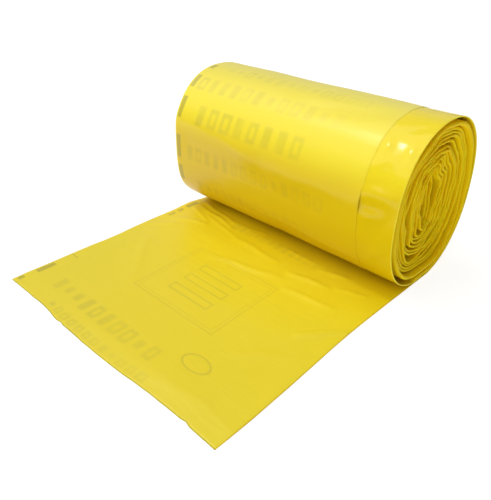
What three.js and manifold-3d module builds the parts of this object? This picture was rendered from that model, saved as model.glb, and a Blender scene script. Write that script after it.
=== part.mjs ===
// A coreless roll of yellow bags for clinical waste, with the leading bag pulled out flat in front.
// The bags are one folded web of thin film, joined end to end, so the roll and its tail are one solid.
// Units are millimetres and +Z is up. The roll's axis lies along X, the tail runs towards -Y, and the
// origin is on the floor, under the middle of the whole object's box.
import * as THREE from "three";
import { mergeVertices } from "three/addons/utils/BufferGeometryUtils.js";
import Module from "manifold-3d";

// The web: its folded width is the length of the roll
const WEB_WIDTH = 285;
const FILM_STACK = 1.2; // all plies of the folded web, as they lie on each other
const FLAP_PLY = 0.4; // the outermost ply, a flap that stops short of the right end
const FLAP_SHORTFALL = 36.5; // from the flap's free edge to the right end

// The roll, which has sagged a little under its own weight
const ROLL_DEPTH = 144.5;
const ROLL_HEIGHT = 162;
const FULLNESS = 2.25; // the power of the section's curve: 2 is an ellipse, and more is fuller between
const FOOT_WIDTH = 30; // flat on which the roll rests

// The winding, which closes on a flattened eye, as no tube holds it open
const TURNS = 9;
const TURN_LEAD = 0.06; // each turn steps back this share of a turn later than the one around it
const EYE_DEPTH = 9;
const EYE_HEIGHT = 46;
const END_RECESS = 7; // from the outermost turn back to the innermost, at each end

// The tail: the part of the leading bag that lies on the floor
const TAIL_REACH = 285.5; // from below the roll's axis to the free edge
const TAIL_SKEW_DEG = 1.5; // the tail was pulled off a little to the right
const TAIL_TUCK_SHARE = 0.5; // the tail joins the roll this share of the foot's half past the axis

const STEPS_A_TURN = 40; // sides of each curve
const PAST_END = 1; // how far a cut runs out beyond the face that it opens in
const MERGE_TOLERANCE = 1e-4; // corners of a geometry that lie closer than this are one corner

const wasm = await Module();
wasm.setup();

/** A closed three.js geometry as a solid that can be joined or cut. */
function solidOf(geometry) {
  const bare = geometry.clone();
  bare.deleteAttribute("normal");
  bare.deleteAttribute("uv");
  const merged = mergeVertices(bare, MERGE_TOLERANCE);
  return new wasm.Manifold(
    new wasm.Mesh({
      numProp: 3,
      vertProperties: merged.attributes.position.array,
      triVerts: new Uint32Array(merged.index.array),
    }),
  );
}

/** A joined solid back as a three.js geometry. */
function geometryOf(solid) {
  const mesh = solid.getMesh();
  const geometry = new THREE.BufferGeometry();
  geometry.setAttribute("position", new THREE.BufferAttribute(mesh.vertProperties, 3));
  geometry.setIndex(new THREE.BufferAttribute(mesh.triVerts, 1));
  geometry.computeVertexNormals();
  return geometry;
}

// The roll's section is a full ellipse with a flat foot. The foot takes this share off the lower half.
const halfDepth = ROLL_DEPTH / 2;
const footShare = 1 - (1 - (FOOT_WIDTH / 2 / halfDepth) ** FULLNESS) ** (1 / FULLNESS);
const halfHeight = ROLL_HEIGHT / (2 - footShare);
const axisHeight = halfHeight * (1 - footShare);

// The turns are thin outside, where the web is seen singly, and stand for more of it further in.
// The first turn below the roll is exactly as thick as the tail that it runs into.
const footWinding = axisHeight - (EYE_HEIGHT / 2) * (1 - footShare);
const windingPower = Math.log(footWinding / FILM_STACK) / Math.log(TURNS);

/** A sine or cosine pushed outwards, which makes an ellipse fuller. */
function fuller(share) {
  return Math.sign(share) * Math.abs(share) ** (2 / FULLNESS);
}

/** A point of the spiral between two turns, in the plane across the roll; turn 0 starts below the axis. */
function spiralPoint(turn, inset) {
  const share = (turn / TURNS) ** windingPower;
  const semiDepth = THREE.MathUtils.lerp(halfDepth, EYE_DEPTH / 2, share) - inset;
  const semiHeight = THREE.MathUtils.lerp(halfHeight, EYE_HEIGHT / 2, share) - inset;
  const angle = 2 * Math.PI * turn - Math.PI / 2;
  const across = semiDepth * fuller(Math.cos(angle));
  const up = Math.max(semiHeight * fuller(Math.sin(angle)), -semiHeight * (1 - footShare));
  return new THREE.Vector2(across, up + axisHeight);
}

/** All that lies inside the spiral from some turn on, closed by the step down to the next turn. */
function insideTurn(turn, inset = 0) {
  const outline = [];
  for (let step = 0; step <= STEPS_A_TURN; step += 1) {
    outline.push(spiralPoint(turn + step / STEPS_A_TURN, inset));
  }
  return new THREE.Shape(outline);
}

/** A shape across the roll, as a solid along X between two places. */
function alongRoll(shape, fromX, toX) {
  const geometry = new THREE.ExtrudeGeometry(shape, {
    depth: toX - fromX,
    bevelEnabled: false,
    curveSegments: STEPS_A_TURN / 2,
  });
  // The shape's own axes, across and up, become Y and Z, and its depth becomes X.
  const upright = new THREE.Matrix4().makeBasis(
    new THREE.Vector3(0, 1, 0),
    new THREE.Vector3(0, 0, 1),
    new THREE.Vector3(1, 0, 0),
  );
  return solidOf(geometry.applyMatrix4(upright).translate(fromX, 0, 0));
}

/**
 * The wound roll: each turn sits a little further back at the ends than the one around it.
 * The innermost turn and the one that leads into it end together, as the rim of the eye.
 */
function woundRoll() {
  const rightEnd = WEB_WIDTH / 2;
  const flap = alongRoll(insideTurn(0), -rightEnd, rightEnd - FLAP_SHORTFALL);
  let roll = flap.add(alongRoll(insideTurn(0, FLAP_PLY), -rightEnd, rightEnd));
  const steps = TURNS - 2;
  for (let step = 1; step <= steps; step += 1) {
    const inside = insideTurn(step * (1 + TURN_LEAD));
    const end = rightEnd - (END_RECESS * step) / steps;
    roll = roll.subtract(alongRoll(inside, end, rightEnd + PAST_END));
    roll = roll.subtract(alongRoll(inside, -rightEnd - PAST_END, -end));
  }
  const eye = new THREE.Shape();
  eye.absellipse(0, axisHeight, EYE_DEPTH / 2, EYE_HEIGHT / 2, 0, 2 * Math.PI);
  return roll.subtract(alongRoll(eye, -rightEnd - PAST_END, rightEnd + PAST_END));
}

/** A flat ply of the tail, from some height up to its top, as far to the right as it reaches. */
function tailPly(rightEdge, underside) {
  const rollCentre = new THREE.Vector2();
  const skew = THREE.MathUtils.degToRad(TAIL_SKEW_DEG);
  const freeCorner = (x) => new THREE.Vector2(x, -TAIL_REACH).rotateAround(rollCentre, skew);
  const underFoot = (TAIL_TUCK_SHARE * FOOT_WIDTH) / 2;
  const outline = new THREE.Shape([
    new THREE.Vector2(-WEB_WIDTH / 2, underFoot),
    freeCorner(-WEB_WIDTH / 2),
    freeCorner(rightEdge),
    new THREE.Vector2(rightEdge, underFoot),
  ]);
  const ply = new THREE.ExtrudeGeometry(outline, {
    depth: FILM_STACK - underside,
    bevelEnabled: false,
  });
  return solidOf(ply.translate(0, 0, underside));
}

/** The tail: its flap lies underneath, because the roll's outer face turns down to the floor. */
function tail() {
  const rightEdge = WEB_WIDTH / 2;
  return tailPly(rightEdge - FLAP_SHORTFALL, 0).add(tailPly(rightEdge, FLAP_PLY));
}

const yellowFilm = new THREE.MeshStandardMaterial({
  name: "yellow_film",
  color: new THREE.Color().setRGB(0.93, 0.82, 0.16, THREE.SRGBColorSpace),
  roughness: 0.35,
  metalness: 0,
});

const bagRoll = new THREE.Mesh(geometryOf(woundRoll().add(tail())), yellowFilm);
bagRoll.name = "bag_roll";

const object = new THREE.Group();
object.add(bagRoll);

// The origin goes to the floor below the middle of the box.
const box = new THREE.Box3().setFromObject(bagRoll);
bagRoll.position.set(-(box.min.x + box.max.x) / 2, -(box.min.y + box.max.y) / 2, -box.min.z);

export default object;
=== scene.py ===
"""Looks of a coreless roll of yellow bags for clinical waste, with its leading bag pulled out flat.

Units are metres and +Z is up. The roll's axis lies along X, the tail of the roll runs towards -Y, and the
origin is on the floor below the middle of the whole object's box.

The bags are one folded web of thin film. It runs from the tail's free edge flat along the floor, under the
roll, up its back, over its top and down its front, and then turn on turn inwards to a flattened eye.
Two measures place every point of the web: how far it lies along the web from the free edge, and how far
it lies across the web from its middle line.
"""

import logging
import math
from dataclasses import dataclass, field
from enum import Enum

import bmesh
import bpy
from mathutils import Matrix, Vector, noise

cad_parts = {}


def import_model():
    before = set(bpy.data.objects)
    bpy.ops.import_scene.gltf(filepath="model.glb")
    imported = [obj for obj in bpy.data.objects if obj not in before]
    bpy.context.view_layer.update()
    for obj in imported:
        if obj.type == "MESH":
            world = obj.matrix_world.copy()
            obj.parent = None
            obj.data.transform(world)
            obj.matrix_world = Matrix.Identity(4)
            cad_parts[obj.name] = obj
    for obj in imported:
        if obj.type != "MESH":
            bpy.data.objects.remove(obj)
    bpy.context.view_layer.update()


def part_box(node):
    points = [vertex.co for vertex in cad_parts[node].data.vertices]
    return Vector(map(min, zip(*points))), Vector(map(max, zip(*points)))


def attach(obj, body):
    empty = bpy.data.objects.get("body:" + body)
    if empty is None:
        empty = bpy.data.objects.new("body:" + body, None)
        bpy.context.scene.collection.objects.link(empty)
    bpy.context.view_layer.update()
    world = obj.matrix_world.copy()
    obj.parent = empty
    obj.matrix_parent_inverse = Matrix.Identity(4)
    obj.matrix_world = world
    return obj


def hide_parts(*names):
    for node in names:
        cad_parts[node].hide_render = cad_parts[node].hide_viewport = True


LOG = logging.getLogger("bag_roll")

CAD_NODE = "bag_roll"
BODY = "root"
WEB_MAP = "web"

TURN = 2.0 * math.pi
BELOW = -math.pi / 2.0
MERGE_DISTANCE = 1e-7


class End(Enum):
    """One end of the roll, as the sign of its X."""

    LEFT = -1
    RIGHT = 1


def smooth_step(low: float, high: float, value: float) -> float:
    """A soft step from 0 at low to 1 at high.

    Args:
        low: where the step starts.
        high: where the step ends, above or below low.
        value: the place to look at.

    Returns:
        A share from 0 to 1.
    """
    share = min(1.0, max(0.0, (value - low) / (high - low)))
    return share * share * (3.0 - 2.0 * share)


def mixed(low: float, high: float, share: float) -> float:
    """The value that lies at a share of the way from low to high."""
    return low + (high - low) * share


def hump(value: float, centre: float, reach: float) -> float:
    """A soft hump that is 1 at its centre and has almost gone at twice its reach."""
    return math.exp(-(((value - centre) / reach) ** 2))


def noise_at(*place: float) -> float:
    """Smooth noise from about -1 to 1 at a place."""
    return noise.noise(Vector(place))


@dataclass(frozen=True)
class RollSizes:
    """The driving sizes of the roll and its tail, the same as the solid's but for the flap's thin ply.

    The stack is all plies of the folded web, the flap's shortfall is how far it stops before the right end,
    and the tail's shift and turn say how it was pulled off askew.
    """

    web_width: float = 0.285
    stack: float = 0.0012
    flap_ply: float = 0.00022
    flap_shortfall: float = 0.0365
    depth: float = 0.1445
    height: float = 0.162
    fullness: float = 2.25
    foot_width: float = 0.030
    eye_depth: float = 0.010
    eye_height: float = 0.044
    eye_shift: float = 0.006
    eye_bend: float = 0.005
    tail_reach: float = 0.2855
    tail_shift: float = 0.0069
    tail_turn: float = math.radians(1.5)

    @property
    def foot_share(self) -> float:
        """The share that the flat foot takes off the lower half's height."""
        beside = 1.0 - (self.foot_width / self.depth) ** self.fullness
        return 1.0 - beside ** (1.0 / self.fullness)

    @property
    def half_height(self) -> float:
        """Half the height of the section's full ellipse."""
        return self.height / (2.0 - self.foot_share)

    @property
    def axis_height(self) -> float:
        """How high the roll's axis lies above the floor."""
        return self.half_height * (1.0 - self.foot_share)

    @property
    def flap_edge(self) -> float:
        """Where the outer flap ends, across the web."""
        return self.web_width / 2.0 - self.flap_shortfall


@dataclass(frozen=True)
class Winding:
    """How the web is wound, from the outermost turn in to the eye.

    Gaps are in thicknesses of the thinnest turn, and grains in waves a metre, or a radius of the section.
    Each bundle is a turn at which the ends step back, with how far they do.
    """

    ARC_STEPS = 90

    sizes: RollSizes
    turns: int = 15
    first_share: float = 0.38
    sag_share: float = 0.75
    sag_angle: float = math.radians(218.0)
    gap_share: float = 3.52
    gap_grain: float = 1.15
    crumple: float = 0.0040
    crumple_grain: float = 62.0
    ruck_share: float = 0.20
    ruck_grain: float = 170.0
    eye_pinch: float = 0.5
    end_wave: float = 0.0026
    end_ripple: float = 0.0011
    bundles: tuple[tuple[float, float], ...] = (
        (0.9, 0.0006), (2.0, 0.0044), (4.2, 0.0018), (7.3, 0.0014), (10.4, 0.0016), (12.9, 0.0046),
    )

    def fuller(self, share: float) -> float:
        """A sine or cosine pushed outwards, which makes an ellipse fuller."""
        return math.copysign(abs(share) ** (2.0 / self.sizes.fullness), share)

    def rim(self, angle: float) -> Vector:
        """The roll's outer section at an angle from the back, as (across the roll, up).

        Args:
            angle: from the back of the roll.

        Returns:
            The place as (across the roll, up).
        """
        sizes = self.sizes
        across = sizes.depth / 2.0 * self.fuller(math.cos(angle))
        up = sizes.axis_height + sizes.half_height * self.fuller(math.sin(angle))
        return Vector((across, max(up, 0.0)))

    def eye(self, angle: float) -> Vector:
        """The flattened hole in the middle, as (across the roll, up).

        Args:
            angle: from the back of the roll.

        Returns:
            The place as (across the roll, up).
        """
        sizes = self.sizes
        pinch = 1.0 + self.eye_pinch * noise_at(math.cos(angle) * 1.5, math.sin(angle) * 2.5, 3.7)
        bend = sizes.eye_bend * (math.sin(angle) ** 2 - 0.5)
        across = sizes.eye_shift + bend + sizes.eye_depth / 2.0 * math.cos(angle) * pinch
        return Vector((across, sizes.axis_height + sizes.eye_height / 2.0 * math.sin(angle)))

    def arc(self, degrees: float) -> float:
        """How far it is round the rim from below the axis to an angle from the back.

        Args:
            degrees: the angle.

        Returns:
            A length in metres.
        """
        last = math.radians(degrees)
        shares = [step / self.ARC_STEPS for step in range(self.ARC_STEPS + 1)]
        places = [self.rim(mixed(BELOW, last, share)) for share in shares]
        return sum((after - before).length for before, after in zip(places, places[1:]))

    def spacings(self, angle: float) -> list[float]:
        """How much room each turn takes at an angle, in shares of the thinnest turn.

        Args:
            angle: from the back of the roll.

        Returns:
            One share for each turn, from the outermost in.
        """
        place = Vector((math.cos(angle), math.sin(angle), 0.0)) * self.gap_grain
        shares = []
        for turn in range(self.turns):
            loose = noise.noise(place + Vector((0.0, 0.0, 4.3 * turn + 1.1)))
            gap = self.gap_share * max(0.0, loose + 0.05) ** 1.2
            shares.append(self.stoutness(turn + 0.5) + gap)
        low_front = math.cos(angle - self.sag_angle)
        shares[0] = self.first_share + self.sag_share * max(0.0, low_front) ** 3
        return shares

    def stoutness(self, turn: float) -> float:
        """How thick a turn looks against the inner ones, as the outer ones puff up at their ends."""
        return 1.0 + 0.8 * smooth_step(0.6, 1.1, turn) * smooth_step(3.4, 1.6, turn)

    def place(self, turn: float) -> tuple[Vector, float]:
        """Where the web lies after some turns.

        Args:
            turn: the number of turns, counted inwards from below the axis.

        Returns:
            The place as (across the roll, up), and the room that the turn fills there.
        """
        whole = min(int(turn), self.turns - 1)
        angle = TURN * turn + BELOW
        shares = self.spacings(angle)
        inset = (sum(shares[:whole]) + (turn - whole) * shares[whole]) / sum(shares)
        outer, inner = self.rim(angle), self.eye(angle)
        point = outer.lerp(inner, inset)
        room = self.stoutness(turn) * (outer - inner).length / sum(shares)
        depth = turn / self.turns
        amount = self.crumple * smooth_step(0.22, 0.92, depth)
        ruck = self.ruck_share * room * smooth_step(0.05, 0.5, depth)
        wave = Vector((point.x * self.crumple_grain, point.y * self.crumple_grain, 0.4))
        fine = Vector((point.x * self.ruck_grain, point.y * self.ruck_grain, turn * 0.7))
        aside = amount * noise.noise(wave) + ruck * noise.noise(fine)
        wave += Vector((7.0, 3.0, 5.0))
        fine += Vector((2.0, 9.0, 4.0))
        above = amount * noise.noise(wave) + ruck * noise.noise(fine)
        return point + Vector((aside, above)), room

    def set_back(self, turn: float, end: End) -> float:
        """How far a turn's edge lies inside the roll's end.

        Args:
            turn: the number of turns, counted inwards.
            end: the end of the roll.

        Returns:
            A depth in metres.
        """
        angle = TURN * turn + BELOW
        steady = sum(back * smooth_step(first, first + 0.5, turn) for first, back in self.bundles)
        back, up = math.cos(angle), math.sin(angle)
        wave = noise_at(back * 0.8, up * 0.8, turn * 0.9 + 11.0 * end.value)
        ripple = noise_at(back * 5.0, up * 5.0, turn * 0.5 + 7.0 * end.value)
        loose = self.end_wave * wave + self.end_ripple * ripple
        return max(0.0, steady + loose * smooth_step(0.0, 2.0, turn))


@dataclass(frozen=True)
class Station:
    """A place along the web: where it is, how far along, and how thick the web is there."""

    across: float
    up: float
    along: float
    turn: float
    thickness: float


def with_lengths(places: list[tuple[Vector, float, float]], start: float) -> list[Station]:
    """Measures a path along the web.

    Args:
        places: the path's points, each with its turn and the web's thickness there.
        start: how far along the web the first one lies.

    Returns:
        The stations of the path.
    """
    along = start
    stations = []
    for index, (point, turn, thickness) in enumerate(places):
        if index:
            along += (point - places[index - 1][0]).length
        stations.append(Station(point.x, point.y, along, turn, thickness))
    return stations


def outward(stations: list[Station], index: int) -> Vector:
    """The direction at a station that points away from the roll's middle, and down from the tail.

    Args:
        stations: the path.
        index: the station's number on it.

    Returns:
        A direction of length 1, as (across the roll, up).
    """
    before = stations[max(index - 1, 0)]
    after = stations[min(index + 1, len(stations) - 1)]
    run = Vector((after.across - before.across, after.up - before.up)).normalized()
    return Vector((run.y, -run.x))


@dataclass(frozen=True)
class Crease:
    """A soft ridge or dent in the film, nearly straight on the flat web, with places as (across, along)."""

    REACH_WIDTHS = 3.0
    BEND = 0.0042

    start: tuple[float, float]
    end: tuple[float, float]
    width: float
    height: float

    def lift(self, across: float, along: float) -> float:
        """How far the crease lifts the film at a place on the web.

        Args:
            across: the place across the web.
            along: the place along the web.

        Returns:
            A height in metres, below 0 for a dent.
        """
        reach = self.REACH_WIDTHS * self.width
        if not min(self.start[0], self.end[0]) - reach < across < max(self.start[0], self.end[0]) + reach:
            return 0.0
        if not min(self.start[1], self.end[1]) - reach < along < max(self.start[1], self.end[1]) + reach:
            return 0.0
        bend = self.BEND * noise_at(across * 34.0, along * 26.0, self.width * 900.0)
        start, place = Vector(self.start), Vector((across, along + bend))
        run = Vector(self.end) - start
        share = min(1.0, max(0.0, (place - start).dot(run) / max(run.length_squared, 1e-9)))
        gap = (place - start - run * share).length / self.width
        taper = 0.35 + 0.65 * math.sin(math.pi * mixed(0.12, 0.88, share))
        return self.height * taper * math.exp(-gap * gap)


@dataclass
class FilmRelief:
    """All the waves, ridges and dents of the leading bag, by how far each lifts the film."""

    winding: Winding
    creases: list[Crease] = field(default_factory=list)
    tail_wave: float = 0.0012
    tail_ripple: float = 0.0004
    side_flutter: float = 0.0005
    cut_curl: float = 0.0006
    corner_lift: float = 0.0020
    rim_flutter: float = 0.0007
    roll_lift: float = 0.0006
    roll_wave: float = 0.0014
    roll_ripple: float = 0.0005
    bulge_lift: float = 0.0046
    bulge_turn: float = 0.835
    bulge_reach: float = 0.055

    def wrinkles(self, across: float, along: float) -> float:
        """How far all the creases together lift the film at a place on the web."""
        return sum(crease.lift(across, along) for crease in self.creases)

    def on_tail(self, across: float, along: float) -> float:
        """How far the tail lifts off the floor at a place on the web.

        Args:
            across: the place across the web.
            along: the place along the web.

        Returns:
            A height in metres.
        """
        sizes = self.winding.sizes
        to_roll = sizes.tail_reach - along
        from_side = sizes.web_width / 2.0 - abs(across)
        free = smooth_step(0.025, 0.060, to_roll)
        inner = smooth_step(0.0, 0.030, from_side) * smooth_step(0.0, 0.020, along)
        wave = max(0.0, noise_at(across * 13.0, along * 11.0, 1.3) + 0.1)
        ripple = max(0.0, noise_at(across * 40.0, along * 30.0, 8.1))
        lift = inner * (self.tail_wave * wave + self.tail_ripple * ripple)
        flutter = max(0.0, noise_at(4.4, along * 34.0, across * 2.0))
        lift += self.side_flutter * smooth_step(0.014, 0.0, from_side) * flutter
        curl = max(0.0, noise_at(across * 30.0, 2.2, 0.6))
        lift += self.cut_curl * smooth_step(0.012, 0.0, along) * curl
        left = smooth_step(-0.110, -sizes.web_width / 2.0, across) * smooth_step(0.085, 0.050, to_roll)
        return (lift + self.corner_lift * left) * free + self.wrinkles(across, along)

    def on_roll(self, across: float, along: float, turn: float) -> float:
        """How far the outermost turn stands out of the plain roll at a place on the web.

        Args:
            across: the place across the web.
            along: the place along the web.
            turn: the number of turns from below the roll, from 0 to 1.

        Returns:
            A height in metres.
        """
        sizes = self.winding.sizes
        freedom = self.freedom(turn)
        lift = self.broad(across, along, turn) + self.wrinkles(across, along) * freedom
        rim = smooth_step(0.020, 0.0, sizes.web_width / 2.0 - abs(across))
        flutter = noise_at(along * 14.0, 1.0, across * 3.0)
        return lift - self.rim_flutter * rim * freedom * flutter

    def freedom(self, turn: float) -> float:
        """How freely the outermost turn moves: not at all where it leaves the floor and where it ends."""
        return smooth_step(0.02, 0.12, turn) * smooth_step(1.0, 0.93, turn)

    def broad(self, across: float, along: float, turn: float) -> float:
        """The broad waves of the outermost turn, which the turns inside it follow.

        Args:
            across: the place across the web.
            along: the place along the web.
            turn: the number of turns from below the roll, from 0 to 1.

        Returns:
            A height in metres.
        """
        wave = noise_at(across * 9.0, along * 7.0, 5.5)
        ripple = noise_at(across * 21.0, along * 13.0, 2.9)
        left = smooth_step(-0.080, -self.winding.sizes.web_width / 2.0, across)
        bulge = hump(turn, self.bulge_turn, self.bulge_reach) * left
        plain = self.roll_lift + self.roll_wave * wave + self.roll_ripple * ripple
        return self.freedom(turn) * (plain + self.bulge_lift * bulge)


@dataclass(frozen=True)
class Section:
    """The web cut across: two plies that meet in a round bend at each side."""

    flat_columns: int
    fold_steps: int

    def columns(self) -> list[tuple[float, float, float]]:
        """The points round the section.

        Returns:
            For each point its place across in half widths, and how far it lies out from there, across
            and along the outward direction, in half thicknesses. The last one repeats the first.
        """
        shares = [2.0 * step / self.flat_columns - 1.0 for step in range(self.flat_columns + 1)]
        folds = [math.pi * step / self.fold_steps for step in range(1, self.fold_steps)]
        outer = [(share, 0.0, 1.0) for share in shares]
        right = [(1.0, math.sin(angle), math.cos(angle)) for angle in folds]
        inner = [(share, 0.0, -1.0) for share in reversed(shares)]
        left = [(-1.0, -math.sin(angle), -math.cos(angle)) for angle in folds]
        return outer + right + inner + left + outer[:1]


class Web:
    """A length of folded web, as a closed skin on a path of stations."""

    def __init__(self, name: str, stations: list[Station], section: Section) -> None:
        """Keeps the path and the section.

        Args:
            name: the piece's name.
            stations: the path of the web's middle.
            section: the web cut across.
        """
        self.name = name
        self.stations = stations
        self.columns = section.columns()

    def edges(self, station: Station) -> tuple[float, float]:
        """The left and right edge across the web at a station."""
        raise NotImplementedError

    def lift(self, across: float, station: Station) -> float:
        """How far the web stands out from its path at a place."""
        raise NotImplementedError

    def placed(self, across: float, station: Station, point: Vector) -> Vector:
        """A point of the web in the object's own frame."""
        raise NotImplementedError

    def finish(self, across: float, along: float) -> int:
        """Which of the piece's finishes a place on the web takes."""
        return 0

    def build(self) -> bpy.types.Object:
        """Makes the mesh from a plain grid that is rolled round the section and laid along the path.

        Returns:
            The new object, at the origin.
        """
        rows, ring = len(self.stations), len(self.columns)
        mesh_data = bmesh.new()
        bmesh.ops.create_grid(mesh_data, x_segments=rows - 1, y_segments=ring - 1, size=1.0)
        on_web = {}
        normals = [outward(self.stations, index) for index in range(rows)]
        for vertex in mesh_data.verts:
            row = round((vertex.co.x + 1.0) / 2.0 * (rows - 1))
            column = round((vertex.co.y + 1.0) / 2.0 * (ring - 1))
            station = self.stations[row]
            share, aside, out = self.columns[column]
            radius = station.thickness / 2.0
            left, right = self.edges(station)
            middle, half = (left + right) / 2.0, (right - left) / 2.0 - radius
            across = middle + half * share + radius * aside
            offset = radius * out + self.lift(across, station)
            point = Vector((station.across, station.up)) + normals[row] * offset
            on_web[vertex] = (across, station.along)
            vertex.co = self.placed(across, station, point)
        web_map = mesh_data.loops.layers.uv.new(WEB_MAP)
        for face in mesh_data.faces:
            face.smooth = True
            corners = [Vector(on_web[vertex]) for vertex in face.verts]
            centre = sum(corners, Vector((0.0, 0.0))) / len(corners)
            face.material_index = self.finish(centre.x, centre.y)
            for loop in face.loops:
                loop[web_map].uv = on_web[loop.vert]
        bmesh.ops.remove_doubles(mesh_data, verts=mesh_data.verts, dist=MERGE_DISTANCE)
        bmesh.ops.recalc_face_normals(mesh_data, faces=mesh_data.faces)
        mesh = bpy.data.meshes.new(self.name)
        mesh_data.to_mesh(mesh)
        mesh_data.free()
        piece = bpy.data.objects.new(self.name, mesh)
        bpy.context.scene.collection.objects.link(piece)
        return piece


@dataclass(frozen=True)
class Place:
    """Where the roll lies in the object's frame: the middle of its length, and its axis."""

    middle: float
    axis: float

    def point(self, across: float, along_floor: float, up: float) -> Vector:
        """A point given from below the middle of the roll, in the object's frame."""
        return Vector((self.middle + across, self.axis + along_floor, up))


class LeadingBag(Web):
    """The outermost turn of the roll and the tail that it runs out into, or the flap on its outside."""

    TAIL_STEP = 0.0022
    TURN_STEPS = 150
    OVERLAP_TURN = 1.01
    BAND_TUCK = 0.004
    FLAP_STEP = 0.012
    EDGE_WANDER = 0.0006
    PRESSED_SHARE = 0.25
    PRESSED_REACH = 0.022
    WAIST = 0.0018
    WAIST_ALONG = 0.120
    WAIST_REACH = 0.035

    def __init__(self, name: str, winding: Winding, place: Place, relief: FilmRelief, ply: "Ply") -> None:
        """Lays out the path of one ply of the leading bag.

        Args:
            name: the piece's name.
            winding: how the web is wound.
            place: where the roll lies.
            relief: the film's ridges and dents.
            ply: the ply to build.
        """
        self.winding = winding
        self.sizes = winding.sizes
        self.place = place
        self.relief = relief
        self.ply = ply
        super().__init__(name, self.path(), ply.section)

    def path(self) -> list[Station]:
        """The middle of the ply from the free edge to the end of the outermost turn.

        Returns:
            The stations of the path.
        """
        sizes, ply = self.sizes, self.ply
        places = []
        tail_steps = round(sizes.tail_reach / self.TAIL_STEP)
        for step in range(tail_steps):
            to_roll = -sizes.tail_reach * (1.0 - step / tail_steps)
            thickness = ply.thickness * self.fullness_at(sizes.tail_reach + to_roll)
            places.append((Vector((to_roll, 0.0)), 0.0, thickness))
        for step in range(round(self.TURN_STEPS * self.OVERLAP_TURN)):
            turn = step / self.TURN_STEPS
            point, _ = self.winding.place(turn)
            places.append((point, turn, ply.thickness))
        first, last = places[0], places[-1]
        places[0] = (first[0], first[1], 0.0)
        places[-1] = (last[0], last[1], 0.0)
        return with_lengths(places, 0.0)

    def finish(self, across: float, along: float) -> int:
        """The clear film is the second finish: it begins below the flap and ends with the roll."""
        beside = across > self.sizes.flap_edge - self.BAND_TUCK
        return int(beside and along > self.sizes.tail_reach and not self.ply.shortfall)

    def fullness_at(self, along: float) -> float:
        """How far the plies lie apart near the free edge, where they are pressed flat."""
        return mixed(self.PRESSED_SHARE, 1.0, smooth_step(0.0, self.PRESSED_REACH, along))

    def edges(self, station: Station) -> tuple[float, float]:
        """The ply's left and right edge across the web.

        Args:
            station: the place along the web.

        Returns:
            Both places across the web, in metres.
        """
        half = self.sizes.web_width / 2.0
        right = half - self.ply.shortfall
        if self.ply.shortfall:
            right += self.EDGE_WANDER * noise_at(station.along * 14.0, 0.3, 0.9)
        return -half, right

    def lift(self, across: float, station: Station) -> float:
        """How far the ply stands out from the rim, which is inwards by the plies outside it.

        Args:
            across: the place across the web.
            station: the place along the web.

        Returns:
            A distance in metres, below 0 for inwards.
        """
        ply = self.ply
        on_flap = 1.0
        if not ply.shortfall:
            edge = self.sizes.flap_edge
            on_flap = smooth_step(edge + self.FLAP_STEP, edge, across)
        inside = ply.thickness / 2.0 + ply.under * on_flap
        if station.turn > 0.0:
            loose = ply.loose_edge(across, self.sizes.flap_edge, station)
            return self.relief.on_roll(across, station.along, station.turn) - inside + loose
        return -self.relief.on_tail(across, station.along) - inside * self.fullness_at(station.along)

    def placed(self, across: float, station: Station, point: Vector) -> Vector:
        """A point of the ply, with the tail drawn aside a little and its free edge cut unevenly.

        Args:
            across: the place across the web.
            station: the place along the web.
            point: where it lies, as (across the roll, up).

        Returns:
            The point in the object's frame.
        """
        if station.turn > 0.0:
            return self.place.point(across, point.x, max(point.y, 0.0))
        sizes = self.sizes
        near_cut = smooth_step(0.06, 0.0, station.along)
        drawn = smooth_step(0.70, 0.04, station.along / sizes.tail_reach)
        back = self.ply.cut(across) * near_cut + math.tan(sizes.tail_turn) * across * drawn
        left = smooth_step(-0.06, -sizes.web_width / 2.0, across)
        aside = self.WAIST * hump(station.along, self.WAIST_ALONG, self.WAIST_REACH) * left
        aside += sizes.tail_shift * drawn
        return self.place.point(across + aside, point.x + back, max(point.y, 0.0))


@dataclass(frozen=True)
class Ply:
    """One layer of the leading bag."""

    thickness: float
    under: float
    shortfall: float
    section: Section
    cut_seed: float
    cut_back: float
    left_bow: float = 0.0028
    right_bow: float = 0.0033
    corner: float = 0.0012
    notches: tuple[float, ...] = (-0.049, 0.111)
    notch_depth: float = 0.0012
    notch_reach: float = 0.0030
    ragged: float = 0.0007
    gape: float = 0.0015
    gape_turn: float = 0.728
    gape_reach: float = 0.011
    spring: float = 0.00012

    def cut(self, across: float) -> float:
        """How far the free edge is cut back at a place across the web: least left of the middle.

        Args:
            across: the place across the web.

        Returns:
            A distance in metres.
        """
        bow = self.left_bow * smooth_step(-0.045, -0.085, across)
        bow += self.right_bow * smooth_step(0.010, 0.080, across)
        bow -= self.corner * smooth_step(0.118, 0.142, across)
        for notch in self.notches:
            bow += self.notch_depth * hump(across, notch, self.notch_reach)
        return self.cut_back + bow + self.ragged * noise_at(across * 60.0, self.cut_seed, 4.2)

    def loose_edge(self, across: float, flap_edge: float, station: Station) -> float:
        """How far a flap's edge springs up at its loose places.

        Args:
            across: the place across the web.
            flap_edge: where the flap ends across the web.
            station: the place along the web.

        Returns:
            A distance in metres.
        """
        if not self.shortfall:
            return 0.0
        near = smooth_step(flap_edge - 0.016, flap_edge, across)
        gape = self.gape * hump(station.turn, self.gape_turn, self.gape_reach)
        spring = self.spring * max(0.0, noise_at(station.along * 11.0, 6.6, 1.2))
        return near * (spring + gape)


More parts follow.
